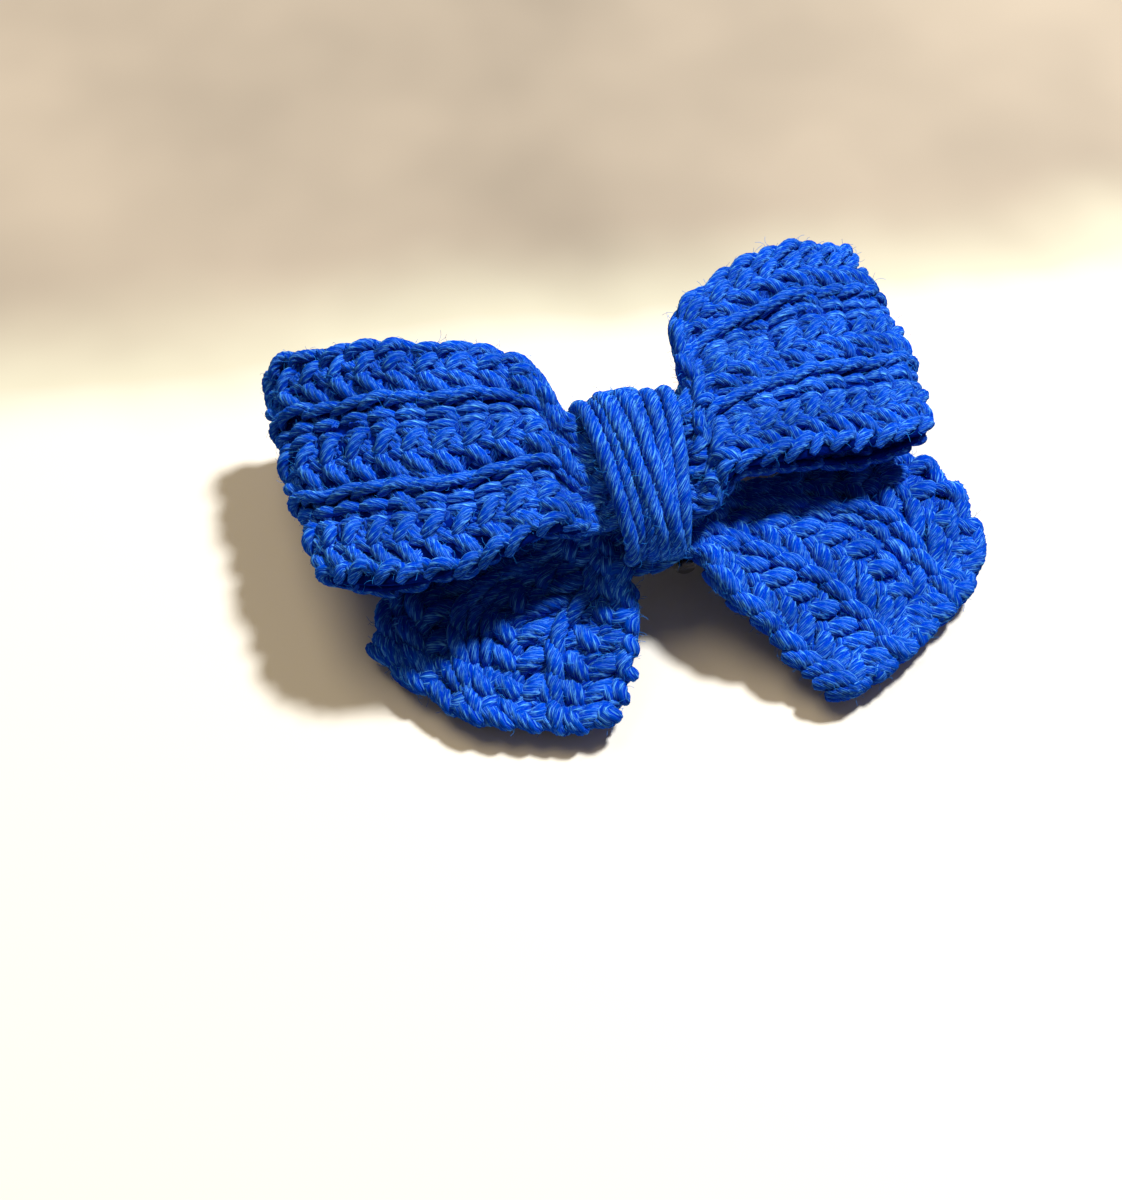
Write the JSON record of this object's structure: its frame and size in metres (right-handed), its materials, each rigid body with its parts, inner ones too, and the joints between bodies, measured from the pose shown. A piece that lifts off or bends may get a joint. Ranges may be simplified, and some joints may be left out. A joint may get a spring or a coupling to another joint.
{
  "type": "hair bow",
  "caption": "Crocheted yarn hair bow with puffed loops, short tails and a wound knot, on a hinged spring clip.",
  "frame": {"origin": "middle of the bow's footprint, on the table it lies on", "axes": "+X to the bow's right, +Y towards the loops, -Y towards the tails, +Z out of the bow's front"},
  "size_m": [0.1088, 0.074, 0.0339],
  "materials": {
    "yarn": "plied yarn with a soft sheen",
    "clip_metal": "nickel-plated pressed steel",
    "pin_metal": "plain spring steel",
    "glue": "milky hot-melt glue"
  },
  "bodies": {
    "bow": {"loop_strip": "yarn", "loop_seam": "yarn", "tail_strip": "yarn", "center_wrap": "yarn", "wrap_knot": "yarn", "glue_pad": "glue", "clip_top_jaw": "clip_metal", "clip_hinge_pin": "pin_metal", "clip_spring": "pin_metal"},
    "lower_jaw": {"clip_bottom_jaw": "clip_metal"}
  },
  "joints": [
    {"name": "jaw_hinge", "type": "hinge", "parent": "bow", "child": "lower_jaw", "pos_m": [0.00566, -0.00401, 0.00593], "axis": [0, -1, 0], "range_deg": [0, 26], "stiffness_Nm_per_rad": 0.08, "springref_deg": -45.84, "deforming": ["clip_spring"]}
  ]
}
